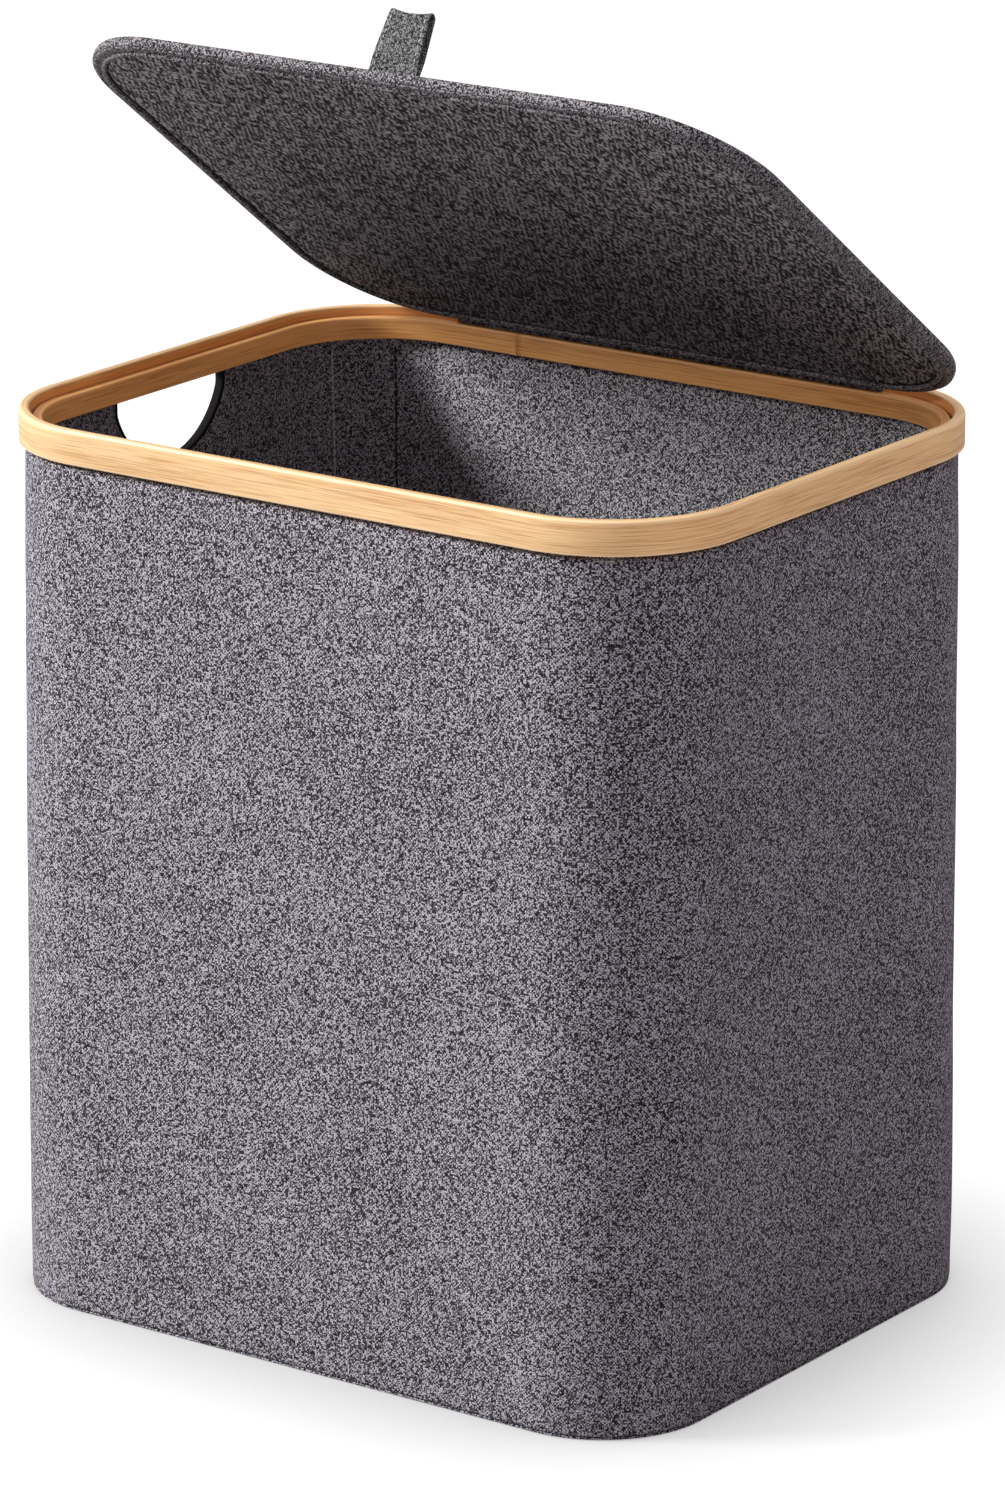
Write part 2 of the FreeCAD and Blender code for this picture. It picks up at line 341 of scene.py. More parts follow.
def wall_piece(name, run, rows, place, material, inward=False, hole=False):
    """A sheet round the body. rows holds (height, step inwards) from the bottom up; place gives
    the point for a station, a height and a step. A hand-hole reaches up to the row at HOLE_TOP,
    and the rows from there to the rim's bottom are left open over it."""
    along = lengths_along([(step, z) for z, step in rows])
    points = [place(station, z, step) for station in run for z, step in rows]
    flats = [(run_length(station, COVER_INSET), v) for station in run for v in along]
    faces = grid_faces(len(run), len(rows), inward)
    if hole:
        outer = [i for i, s in enumerate(run) if HOLE_MARKS[1] - NEAR < s < HOLE_MARKS[3] + NEAR]
        inner = [i for i in outer if HOLE_MARKS[0] - NEAR < run[i] < HOLE_MARKS[2] + NEAR]
        heights = [z for z, _ in rows]
        top = next(j for j, z in enumerate(heights) if abs(z - HOLE_TOP) < NEAR)
        opened = next((j for j, z in enumerate(heights) if z >= RIM_BOTTOM - NEAR), top)
        low = next(j for j, z in enumerate(heights) if abs(z - HOLE_PATCH_LOW) < NEAR)

        def kept(i, j):
            if outer[0] <= i < outer[-1] and low <= j < top:
                return False
            return not (inner[0] <= i < inner[-1] and top <= j < opened)

        each = len(rows) - 1
        faces = [f for n, f in enumerate(faces) if kept(n // each, n % each)]
        border = [(run[outer[0]], heights[j]) for j in range(top, low, -1)]
        border += [(run[i], heights[low]) for i in outer]
        border += [(run[outer[-1]], heights[j]) for j in range(low + 1, top + 1)]
        at = lengths_along([(s * 2 * (RIM_Y - CORNER_R), z) for s, z in border])
        edge = [(y, min(z, HOLE_TOP)) for y, z in hand_hole_edge(TAPE_T)]
        edge = resample(edge, [a / at[-1] for a in at])
        rings = inner[0] - outer[0]
        first = len(points)
        for (border_s, border_z), (y, z) in zip(border, edge):
            for k in range(rings + 1):
                share = k / rings
                s = left_station(y) * (1 - share) + border_s * share
                height = z * (1 - share) + border_z * share
                points.append(place(s, height, 0.0))
                flats.append((run_length(s, COVER_INSET), height - heights[0] + along[0]))
        faces += [
            tuple(first + k for k in face)
            for face in grid_faces(len(border), rings + 1, not inward)
        ]
    return mesh_object(name, points, faces, flats, material)


def pad_point(station, size, inset):
    """Point on a flat panel's outline, drawn in by inset.

    size is (half_x, low y, high y, radius).
    """
    half_x, y0, y1, radius = size
    point, _ = rim_point(station, half_x - inset, (y1 - y0) / 2 - inset, radius - inset)
    point.y += (y0 + y1) / 2
    return point


def pad(name, size, rim_rows, material, bottom=None, top=None, fill_rows=9, step=6 * MM):
    """A flat panel with round corners. rim_rows holds (inset, height) round its edge, from the
    underside outwards and up. Where bottom or top is a function of (x, y), the panel is filled
    to its middle on that side, raised by that function."""
    half_x, y0, y1, _ = size
    spine = half_x - (y1 - y0) / 2
    along = lengths_along(rim_rows)
    anchor = len(rim_rows) - 1 if top else 0  # the row that the flat cloth is measured from

    def filling(station, row, raised):
        """Points from a row of the edge to the panel's middle."""
        edge = pad_point(station, size, row[0])
        middle = Vector((min(spine, max(-spine, edge.x)), (y0 + y1) / 2, 0))
        found = []
        for k in range(1, fill_rows + 1):
            point = edge.lerp(middle, k / fill_rows)
            point.z = row[1] + raised(point.x, point.y) * smooth(4 * k / fill_rows)
            found.append(point)
        return found

    points, flats = [], []
    run = stations(0, 8, step=step)
    for station in run:
        low = filling(station, rim_rows[0], bottom)[::-1] if bottom else []
        high = filling(station, rim_rows[-1], top) if top else []
        rim = [pad_point(station, size, inset) for inset, _ in rim_rows]
        for point, (_, z) in zip(rim, rim_rows):
            point.z = z
        apart = [abs(length - along[anchor]) for length in along]
        unrolled = [pad_point(station, size, rim_rows[anchor][0] - gap) for gap in apart]
        points += [*low, *rim, *high]
        flats += [(p.x, p.y) for p in [*low, *unrolled, *high]]
    return mesh_object(name, points, grid_faces(len(run), len(points) // len(run)), flats, material)


def strap_sheet(name, path, half_width, thickness, material, dip=0.0, taper=0.0):
    """A strap along a path of (y, z) points, from -half_width to half_width in x, with rolled
    edges. dip lowers the middle of its highest part, and taper draws its right edge in there."""
    columns = 12
    along = lengths_along(path)
    low, top = min(z for _, z in path), max(z for _, z in path)
    section = rounded_profile(
        -half_width, half_width, -thickness / 2, thickness / 2, [thickness * 0.45] * 4, 3
    )
    flat_part = []
    for a, b in pairwise([*section, section[0]]):
        flat_part.append(a)
        if abs(b[0] - a[0]) > half_width:
            flat_part += [
                (a[0] + (b[0] - a[0]) * k / columns, a[1] + (b[1] - a[1]) * k / columns)
                for k in range(1, columns)
            ]
    loop = [*flat_part, flat_part[0]]
    around = lengths_along(loop)
    points, flats = [], []
    for k, (y, z) in enumerate(path):
        before, after = path[max(0, k - 1)], path[min(len(path) - 1, k + 1)]
        tangent = Vector((after[0] - before[0], after[1] - before[1])).normalized()
        height = (z - low) / max(top - low, MM)
        for (x, h), v in zip(loop, around):
            sag = dip * (1 - (x / half_width) ** 2) * height**3
            pulled = x - taper * height * (1 + x / half_width) / 2
            points.append(Vector((pulled, y - tangent.y * h, z + tangent.x * h - sag)))
            flats.append((along[k], v))
    faces = grid_faces(len(path), len(loop), True)
    last = (len(path) - 1) * len(loop)
    faces.append(tuple(range(len(flat_part))))
    faces.append(tuple(reversed([last + k for k in range(len(flat_part))])))
    return mesh_object(name, points, faces, flats, material)


def stitch_rows(name, rows, material, length=3.2 * MM, gap=1.3 * MM, width=0.55 * MM, sunk=0.3):
    """Rows of thread stitches, each a slim ellipsoid half sunk in the cloth.

    Each row is a list of (point, outward direction) pairs along the seam.
    """
    around, sections = 8, 5
    template = [
        (-math.cos(turn), math.sin(turn) * math.cos(spin), math.sin(turn) * math.sin(spin))
        for turn in [math.pi * j / sections for j in range(1, sections)]
        for spin in [2 * math.pi * i / around for i in range(around)]
    ]
    template = np.array([*template, (-1, 0, 0), (1, 0, 0)], float)
    body = grid_faces(sections - 1, around, True)
    for j in range(sections - 2):
        a, b = j * around, (j + 1) * around
        body.append((a + around - 1, a, b, b + around - 1))
    start, end = len(template) - 2, len(template) - 1
    for i in range(around):
        nearer, last = (i + 1) % around, (sections - 2) * around
        body += [(start, nearer, i), (end, last + i, last + nearer)]
    points, faces = [], []
    for row in rows:
        places = np.array([p for p, _ in row], float)
        outs = np.array([o for _, o in row], float)
        at = np.concatenate([[0], np.cumsum(np.linalg.norm(np.diff(places, axis=0), axis=1))])

        def value_at(distance, values):
            return np.array([np.interp(distance, at, values[:, c]) for c in range(3)])

        count = max(1, int(at[-1] // (length + gap)))
        for k in range(count):
            middle = (k + 0.5) * at[-1] / count
            ends = [value_at(middle + d, places) for d in (-length / 2, length / 2)]
            out = value_at(middle, outs)
            tangent = ends[1] - ends[0]
            tangent /= np.linalg.norm(tangent)
            out -= tangent * (out @ tangent)
            out /= np.linalg.norm(out)
            side = np.cross(tangent, out)
            wobble = noise.noise(Vector(ends[0]) * 900) * 0.12
            tangent = tangent + side * wobble
            axes = np.stack([tangent * length / 2, side * width / 2, out * width / 2])
            centre = (ends[0] + ends[1]) / 2 + out * width * (0.5 - sunk)
            faces += [tuple(len(points) + v for v in face) for face in body]
            points += list(template @ axes + centre)
    flats = [(p[0], p[2]) for p in points]
    return mesh_object(name, points, faces, flats, material)


# ---------------- materials


class Nodes:
    """Builds a material's nodes in short calls. An input is a value or another node's output."""

    def __init__(self, name):
        self.material = bpy.data.materials.new(name)
        self.material.use_nodes = True
        self.tree = self.material.node_tree
        self.shader = self.tree.nodes["Principled BSDF"]
        self.flat = self.node("UVMap", uv_map="Flat").outputs[0]

    def node(self, kind, inputs=None, **settings):
        made = self.tree.nodes.new("ShaderNode" + kind)
        for key, value in settings.items():
            setattr(made, key, value)
        for key, value in (inputs or {}).items():
            self.set(made.inputs[key], value)
        return made

    def set(self, socket, value):
        if isinstance(value, bpy.types.NodeSocket):
            self.tree.links.new(value, socket)
        else:
            socket.default_value = value

    def math(self, operation, a, b=0.0):
        return self.node("Math", {0: a, 1: b}, operation=operation).outputs[0]

    def plus(self, a, b):
        return self.math("ADD", a, b)

    def times(self, a, b):
        return self.math("MULTIPLY", a, b)

    def split(self):
        parts = self.node("SeparateXYZ", {0: self.flat})
        return parts.outputs[0], parts.outputs[1]

    def join(self, x, y, z=0.0):
        return self.node("CombineXYZ", {0: x, 1: y, 2: z}).outputs[0]

    def noise(self, vector, scale=1.0, detail=0.0, rough=0.5):
        inputs = {"Vector": vector, "Scale": scale, "Detail": detail, "Roughness": rough}
        return self.node("TexNoise", inputs, noise_dimensions="3D").outputs[0]

    def range(self, value, low, high, to_low=0.0, to_high=1.0):
        inputs = {0: value, 1: low, 2: high, 3: to_low, 4: to_high}
        return self.node("MapRange", inputs).outputs[0]

    def ramp(self, value, *stops):
        ramp = self.node("ValToRGB", {0: value})
        elements = ramp.color_ramp.elements
        while len(elements) < len(stops):
            elements.new(0.5)
        for element, (position, colour) in zip(elements, stops):
            element.position = position
            element.color = (*colour, 1)
        return ramp.outputs[0]

    def mix(self, share, a, b, blend="MIX"):
        mixed = self.node("Mix", data_type="RGBA", blend_type=blend)
        for key, value in ((0, share), (6, a), (7, b)):
            if key and isinstance(value, tuple) and len(value) == 3:
                value = (*value, 1)
            self.set(mixed.inputs[key], value)
        return mixed.outputs[2]

    def bump(self, height, distance, strength=1.0):
        inputs = {"Height": height, "Distance": distance, "Strength": strength}
        return self.node("Bump", inputs).outputs[0]

    def finish(self, colour, roughness, normal, **sockets):
        self.set(self.shader.inputs["Base Color"], colour)
        self.set(self.shader.inputs["Roughness"], roughness)
        self.set(self.shader.inputs["Normal"], normal)
        for name, value in sockets.items():
            self.set(self.shader.inputs[name.replace("_", " ")], value)
        return self.material


def cloth(name, dark, middle, light, pitch=1.0, stretch=1.0, sheen=0.08):
    """Heathered plain weave. Each yarn's tone changes along its length in short streaks and it
    sways a little from side to side. pitch, streak and sway are in mm, and stretch makes the
    whole pattern longer along y."""
    n = Nodes(name)
    streak, sway, sway_scale = 2.1, 0.7, 0.22
    apart = 3.77  # sets neighbouring yarns' streaks apart in the noise
    u, v = n.split()
    v = n.math("DIVIDE", v, stretch)
    slow_u, slow_v = n.times(u, sway_scale), n.times(v, sway_scale)
    sway_u = n.range(n.noise(n.join(slow_u, slow_v), detail=1.0), 0, 1, -sway, sway)
    sway_v = n.range(n.noise(n.join(slow_v, slow_u, 7.3)), 0, 1, -sway, sway)
    a = n.math("DIVIDE", n.plus(u, sway_u), pitch)
    b = n.math("DIVIDE", n.plus(v, sway_v), pitch)
    column, row = n.math("FLOOR", a), n.math("FLOOR", b)
    across, up = n.math("FRACT", a), n.math("FRACT", b)
    over = n.math("PINGPONG", n.plus(column, row), 1.0)
    weft = n.noise(n.join(n.math("DIVIDE", u, streak), n.times(row, apart)), detail=1.0)
    warp = n.noise(n.join(n.times(column, apart), n.math("DIVIDE", v, streak), 5.1), detail=1.0)

    def bow(x):
        """1 in the middle of a yarn and 0 at its sides."""
        centred = n.math("SUBTRACT", n.times(x, 2.0), 1.0)
        return n.math("SUBTRACT", 1.0, n.times(centred, centred))

    bow_u, bow_v = bow(across), bow(up)

    def either(if_weft, if_warp):
        return n.node("Mix", {0: over, 2: if_warp, 3: if_weft}, data_type="FLOAT").outputs[0]

    tone = either(n.plus(weft, 0.04), n.math("SUBTRACT", warp, 0.04))
    height = either(
        n.times(bow_v, n.plus(0.5, n.times(bow_u, 0.5))),
        n.times(bow_u, n.plus(0.5, n.times(bow_v, 0.5))),
    )
    fuzz = n.noise(n.join(u, v), scale=1.15, detail=3.0, rough=0.75)
    tone = n.plus(tone, n.range(fuzz, 0.2, 0.8, -0.2, 0.2))
    broad = n.noise(n.flat, scale=0.013, detail=2.0)
    tone = n.plus(tone, n.range(broad, 0.2, 0.8, -0.015, 0.015))
    colour = n.ramp(tone, (0.425, dark), (0.5, middle), (0.58, light))
    # painted shade: each yarn's colour is darkened towards its sides, where it dips between its
    # neighbours, and lifted a little on its crown as a faint painted highlight
    painted_gap_shade = n.range(height, 0, 1, 0.42, 1.1)
    colour = n.mix(1.0, colour, n.join(painted_gap_shade, painted_gap_shade, painted_gap_shade), "MULTIPLY")
    relief_height = n.plus(height, n.times(fuzz, 0.6))
    return n.finish(
        colour,
        n.range(fuzz, 0, 1, 0.8, 0.98),
        n.bump(relief_height, 0.13 * MM),
        Sheen_Weight=sheen,
        Sheen_Roughness=0.45,
        Specular_IOR_Level=0.15,
    )


def bamboo(name, seed, highlight_arrises, tint=(1.0, 1.0, 1.0), inner=0.0):
    """Bent bamboo strip under satin lacquer, with its fibres running along the strip. arrises
    holds the (place round the section, half width) of each rounded edge, in mm, where a lighter
    band is painted as the edge's highlight. The section's first part, up to inner, is its inner
    face, whose deeper orange is painted shade."""
    n = Nodes(name)
    u, v = n.split()

    def streaks(along, across, offset, detail, rough=0.5):
        """Noise with its own pitch along the strip and across it."""
        place = n.join(n.times(u, along), n.times(v, across), offset)
        return n.noise(place, detail=detail, rough=rough)

    fibre = streaks(0.014, 0.95, seed, 4.0, 0.65)
    fine = streaks(0.035, 1.9, seed, 2.0)
    broad = streaks(0.006, 0.06, seed + 4, 2.0)
    pores = streaks(0.09, 4.0, seed + 9, 1.0)
    tone = n.plus(n.plus(n.times(fibre, 0.5), n.times(fine, 0.45)), n.times(broad, 0.3))
    paint = [tuple(c * t for c, t in zip(colour, tint)) for colour in BAMBOO]
    colour = n.ramp(tone, (0.52, paint[0]), (0.62, paint[1]), (0.73, paint[2]))
    colour = n.mix(n.range(pores, 0.62, 0.8, 0.0, 0.35), colour, paint[3])
    # painted shade: the inner face is multiplied to a deep orange, standing in for the shade and
    # warm bounced light that it sits in
    if inner:
        painted_inner_shade = n.mix(1.0, colour, (1.0, 0.68, 0.42), "MULTIPLY")
        colour = n.mix(n.range(v, inner - 1.5, inner, 1.0, 0.0), colour, painted_inner_shade)
    # painted highlight: a lighter band along each arris, standing in for the light caught by the
    # rounded edge
    for place, half_width in highlight_arrises:
        apart = n.math("ABSOLUTE", n.math("SUBTRACT", v, place))
        share = n.range(apart, half_width * 0.5, half_width * 1.5, 0.55, 0.0)
        colour = n.mix(share, colour, paint[4])
    height = n.plus(fibre, n.times(fine, 0.8))
    return n.finish(
        colour,
        n.range(fibre, 0.2, 0.8, 0.4, 0.58),
        n.bump(height, 0.08 * MM, 0.6),
        Coat_Weight=0.1,
        Coat_Roughness=0.35,
    )


# the strip's three grain tones, its pore colour, and the colour of the highlight painted along its
# arrises
BAMBOO = (
    (0.54, 0.30, 0.12),
    (0.77, 0.50, 0.235),
    (0.86, 0.61, 0.33),
    (0.42, 0.20, 0.07),
    (0.95, 0.74, 0.46),
)


def plain(name, colour, roughness, grain=0.5, grain_size=1.2, relief=0.05, **sockets):
    """Board, foam, tape, thread or steel: one colour broken up by a fine grain."""
    n = Nodes(name)
    place = n.node("TexCoord").outputs["Object"]
    speck = n.noise(place, scale=grain_size / MM, detail=3.0, rough=0.6)
    low = tuple(c * (1 - grain) for c in colour)
    high = tuple(min(1.0, c * (1 + grain)) for c in colour)
    paint = n.ramp(speck, (0.3, low), (0.7, high))
    rough = n.range(speck, 0, 1, roughness * 0.9, min(1.0, roughness * 1.1))
    return n.finish(paint, rough, n.bump(speck, relief * MM), **sockets)


GREY_CLOTH = cloth("GreyCloth", (0.014, 0.0125, 0.015), (0.112, 0.103, 0.123), (0.6, 0.57, 0.63))
DARK_CLOTH = cloth("LiningCloth", (0.026, 0.024, 0.027), (0.205, 0.195, 0.214), (0.72, 0.7, 0.74))
LID_CLOTH = cloth("LidCloth", (0.014, 0.013, 0.014), (0.1, 0.094, 0.1), (0.43, 0.41, 0.43))
# painted shade: the lid's underside cloth has colours far darker than the same dark fabric in the
# lining, standing in for the little light that reaches its downward face
SHADED_UNDERSIDE_CLOTH = cloth(
    "UndersideCloth",
    (0.003, 0.0028, 0.003),
    (0.067, 0.064, 0.069),
    (0.46, 0.44, 0.47),
    pitch=1.5,
    stretch=2.2,
    sheen=0.02,
)
STRAP_CLOTH = cloth("StrapCloth", (0.02, 0.02, 0.02), (0.1, 0.1, 0.1), (0.32, 0.32, 0.32), 0.9)
# Both rings get painted arris highlights. The outer ring's inner face, up to 19.5 mm round its
# section, gets painted shade.
OUTER_BAMBOO = bamboo("OuterBamboo", 3.0, ((24.6, 1.4), (42.8, 0.9)), inner=19.5)
INNER_BAMBOO = bamboo("InnerBamboo", 11.0, ((1.0, 1.0), (13.4, 1.0)), (1.02, 0.76, 0.5))
TAPE = plain("Tape", (0.012, 0.011, 0.012), 0.95, 0.4, 1.5, Specular_IOR_Level=0.1)
DARK_THREAD = plain("DarkThread", (0.02, 0.018, 0.021), 0.7, 0.3, 4.0)
LIGHT_THREAD = plain("LightThread", (0.72, 0.7, 0.72), 0.7, 0.3, 4.0)
BOARD = plain("Board", (0.55, 0.53, 0.5), 0.6, 0.08, 0.3)
FOAM = plain("Foam", (0.75, 0.75, 0.73), 0.95, 0.12, 1.0, 0.3)
STEEL = plain("Steel", (0.6, 0.6, 0.6), 0.35, 0.1, 2.0, 0.01, Metallic=1.0)


# ---------------- camera, floor, light


def stand(thing, place, back):
    """Puts a camera or lamp in its place, facing away from the direction back."""
    thing.location = place
    thing.rotation_mode = "QUATERNION"
    thing.rotation_quaternion = back.to_track_quat("Z", "Y")


def place_camera():
    """Camera at the viewing angle."""
    azimuth, elevation, distance = math.radians(35.62), math.radians(16.56), 4.0636
    level_reach = math.cos(elevation)
    back = Vector(
        (math.sin(azimuth) * level_reach, -math.cos(azimuth) * level_reach, math.sin(elevation))
    )
    target = Vector((7.5 * MM, 0, 307.7 * MM))
    data = bpy.data.cameras.new("Camera")
    data.lens, data.sensor_width, data.sensor_fit = 178.6, 36, "AUTO"
    data.clip_end = 50
    camera = add_object("Camera", data)
    stand(camera, target + back * distance, back)
    bpy.context.scene.camera = camera


def lay_floor():
    """Pale round floor. The camera sees it near white by a glow that only camera rays get, with a
    painted soft contact shadow where an occlusion node dims that glow, while the object is lit by
    its plain colour."""
    floor_mesh = bpy.data.meshes.new("floor")
    reach, segments = 9.0, 64
    edge = [
        (reach * math.cos(a), reach * math.sin(a), -0.2 * MM)
        for a in (2 * math.pi * k / segments for k in range(segments))
    ]
    floor_mesh.from_pydata(edge, [], [tuple(range(segments))])
    n = Nodes("Floor")
    speck = n.noise(n.node("TexCoord").outputs["Object"], scale=2.0, detail=1.0)
    paint = n.ramp(speck, (0.3, (0.52, 0.52, 0.52)), (0.7, (0.54, 0.54, 0.54)))
    seen = n.node("LightPath").outputs["Is Camera Ray"]
    paint = n.mix(n.times(seen, 0.62), paint, (0.0, 0.0, 0.0))
    # painted contact shadow: the glow seen by the camera dims where the occlusion node finds the
    # basket near
    near = n.node("AmbientOcclusion", {"Distance": 0.14}, samples=8).outputs["AO"]
    glow_with_painted_shadow = n.times(seen, n.range(near, 0.45, 1.0, 0.47, 0.9))
    n.finish(paint, 0.9, n.bump(speck, 0.01 * MM), Emission_Color=(1, 1, 1, 1))
    n.set(n.shader.inputs["Emission Strength"], glow_with_painted_shadow)
    floor_mesh.materials.append(n.material)
    add_object("floor", floor_mesh)


def softbox(name, place, aim, size, power, colour=(1, 1, 1)):
    lamp = bpy.data.lights.new(name, "AREA")
    lamp.shape, lamp.size, lamp.energy, lamp.color = "DISK", size, power, colour
    light = add_object(name, lamp)
    stand(light, place, Vector(place) - Vector(aim))
    return light


def light_world():
    """White backdrop for the camera, and a weaker fill for everything else."""
    world = bpy.data.worlds.new("World")
    bpy.context.scene.world = world
    world.use_nodes = True
    nodes, links = world.node_tree.nodes, world.node_tree.links
    backdrop, fill = nodes["Background"], nodes.new("ShaderNodeBackground")
    backdrop.inputs[0].default_value, backdrop.inputs[1].default_value = (1, 1, 1, 1), 1.05
    fill.inputs[0].default_value, fill.inputs[1].default_value = (1.03, 0.9, 1.0, 1), 0.36
    path, either = nodes.new("ShaderNodeLightPath"), nodes.new("ShaderNodeMixShader")
    links.new(path.outputs["Is Camera Ray"], either.inputs[0])
    links.new(fill.outputs[0], either.inputs[1])
    links.new(backdrop.outputs[0], either.inputs[2])
    links.new(either.outputs[0], nodes["World Output"].inputs[0])
    bpy.context.scene.view_settings.view_transform = "Standard"


place_camera()
lay_floor()
softbox("Key", (-3.2, -2.6, 3.1), aim=(0, 0, 0.3), size=1.5, power=300)
softbox("Top", (0.2, 0.4, 4.2), aim=(0, 0, 0), size=3.0, power=60)
warm_light = softbox(
    "RimWarm", (3.5, -1.0, 1.3), aim=(0, 0, 0.5), size=1.0, power=25, colour=(1.0, 0.72, 0.45)
)
light_world()


# ---------------- basket


def wear(piece, body, slot, *nodes):
    """Puts a piece on its body, in place of CAD nodes. slot is not used."""
    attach(piece, body)
    if nodes:
        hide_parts(*nodes)


def swell(point, *waves):
    """Broad unevenness of stretched cloth, from 0 up. Each wave is (size, height)."""
    return sum((0.5 + 0.5 * noise.noise(point * (1 / size))) * height for size, height in waves)


def ring(name, joint_station, profile, material):
    """A bent strip whose two ends meet at joint_station in a fine line."""
    gap = 0.05 * MM / (2 * (RIM_X - CORNER_R))
    run = stations(joint_station + gap, joint_station + 8 - gap, step=5 * MM)
    return sweep(name, run, profile, material)


outer_ring = ring(
    "outer_ring_bamboo",
    rear_station(0.06),
    rounded_profile(
        0, OUTER_RING_T, RIM_BOTTOM, HEIGHT, [arris * MM for arris in (1.2, 1.6, 1.9, 1.2)]
    ),
    OUTER_BAMBOO,
)
wear(outer_ring, "basket", "bamboo", "outer_ring")

inner_ring = ring(
    "inner_ring_bamboo",
    rear_station(-0.1),
    rounded_profile(
        INNER_RING_INSET,
        INNER_RING_INSET + INNER_RING_T,
        INNER_RING_BOTTOM,
        LEDGE_Z,
        [arris * MM for arris in (1.3, 1.3, 0.6, 0.6)],
    ),
    INNER_BAMBOO,
)
wear(inner_ring, "basket", "bamboo", "inner_ring")

rim = bpy.data.collections.new("Rim")
rim.objects.link(outer_ring)
rim.objects.link(inner_ring)
warm_light.light_linking.receiver_collection = rim  # a warm accent on the bamboo alone

FRONT_MIDDLE, REAR_MIDDLE = 0.5, 4.5  # stations of the lining's seam and the cover's
BOARDS = {
    "front_board": (corner_station(7, LONG_SEAM_DEG), corner_station(9, LONG_SEAM_DEG)),
    "right_board": (corner_station(1, SIDE_SEAM_DEG), corner_station(3, SIDE_SEAM_DEG)),
    "rear_board": (corner_station(3, LONG_SEAM_DEG), corner_station(5, LONG_SEAM_DEG)),
    "left_board": (corner_station(5, SIDE_SEAM_DEG), corner_station(7, SIDE_SEAM_DEG)),
}


def looseness(z):
    """How freely the wall's cloth moves at a height: 0 at its sewn edges, 1 away from them."""
    return smooth(z / (50 * MM)) * smooth((RIM_BOTTOM - z) / (60 * MM))


def board_point(station, z, step):
    return wall_point(station, z, BOARD_INSET + 0.1 * MM + step)[0]


for node, (first, last) in BOARDS.items():
    holed = node == "left_board"
    board_rows = [
        (z, 0.0) for z in steps(CLOTH_T + FLOOR_EDGE, HOLE_TOP, 12 * MM, [HOLE_PATCH_LOW])
    ]
    run = stations(first, last, HOLE_MARKS if holed else (), step=9 * MM)
    board = wall_piece(node + "_sheet", run, board_rows, board_point, BOARD, hole=holed)
    thicken(board, BOARD_T - 0.3 * MM)
    wear(board, "basket", "stiffener", node)


def cover_point(station, z, step):
    point, normal = wall_point(station, z, COVER_INSET + step)
    return point + normal * swell(point, (0.11, 0.9 * MM), (0.035, 0.25 * MM)) * looseness(z)


foot_turn = [(1.7, 2.0), (1.8, 1.2), (2.2, 0.5), (3.2, 0.1)]
cover_rows = [(z * MM, step * MM) for z, step in foot_turn]
cover_rows += [(z, 0.0) for z in steps(4.5 * MM, HOLE_TOP, 7 * MM, [HOLE_PATCH_LOW])]
cover_rows += [(RIM_BOTTOM - 2.5 * MM, 0.5 * MM), (RIM_BOTTOM - 2.1 * MM, 1.5 * MM)]
cover_rows += [(RIM_BOTTOM - 1.9 * MM, 2.7 * MM), (LEDGE_Z - 2.2 * MM, 2.7 * MM)]
cover = wall_piece(
    "wall_cover_cloth",
    stations(REAR_MIDDLE, REAR_MIDDLE + 8, HOLE_MARKS),
    cover_rows,
    cover_point,
    GREY_CLOTH,
    hole=True,
)
thicken(cover, 0.9 * MM)
wear(cover, "basket", "grey_fabric", "wall_cover")


def lining_point(station, z, step):
    """Inner face of the lining. It lies over the boards, and falls back in the corners."""
    segment, part = int(station // 1) % 8, station % 1
    dent = 0.0
    if segment % 2 == 1:
        angle = 90 * (1 - part) if segment in (1, 5) else 90 * part
        radius = CORNER_R - INNER_RING_INSET
        from_side = math.radians(angle - SIDE_SEAM_DEG) * radius
        from_long = math.radians(LONG_SEAM_DEG - angle) * radius
        below_rim = RIM_BOTTOM - 8 * MM - z
        from_long -= 4 * MM * smooth(1 - below_rim / (10 * MM)) ** 2
        slack = smooth(from_side / (3 * MM)) * smooth(from_long / (3 * MM))
        groove = math.exp(-((from_long / (1.0 * MM)) ** 2)) * 1.6
        groove += math.exp(-((from_side / (1.0 * MM)) ** 2)) * 0.35
        dent = (slack + groove) * MM * smooth((RIM_BOTTOM - z) / (14 * MM))
    point, normal = wall_point(station, z, INNER_RING_INSET + step - dent)
    return point - normal * swell(point, (0.09, 0.9 * MM), (0.03, 0.3 * MM)) * looseness(z)


seam_marks = [
    corner_station(corner, angle)
    for corner in (1, 3, 5, 7)
    for angle in [SIDE_SEAM_DEG + d for d in (-1.2, 0, 1.2, 2.4)]
    + [LONG_SEAM_DEG + d for d in (-3, -2, -1, 0, 1, 2)]
]
tuck_marks = [RIM_BOTTOM - down * MM for down in (19, 13, 7)]
lining_heights = steps(2 * MM, HOLE_TOP, 7 * MM, [HOLE_PATCH_LOW, *tuck_marks])
lining_rows = [(z, 0.0) for z in lining_heights]
lining_rows += [(RIM_BOTTOM, 0.0), (LEDGE_Z - 2.2 * MM, 0.0)]
lining = wall_piece(
    "wall_lining_cloth",
    stations(FRONT_MIDDLE, FRONT_MIDDLE + 8, [*HOLE_MARKS, *seam_marks]),
    lining_rows,
    lining_point,
    DARK_CLOTH,
    inward=True,
    hole=True,
)
thicken(lining, 0.9 * MM)
wear(lining, "basket", "dark_fabric", "wall_lining")


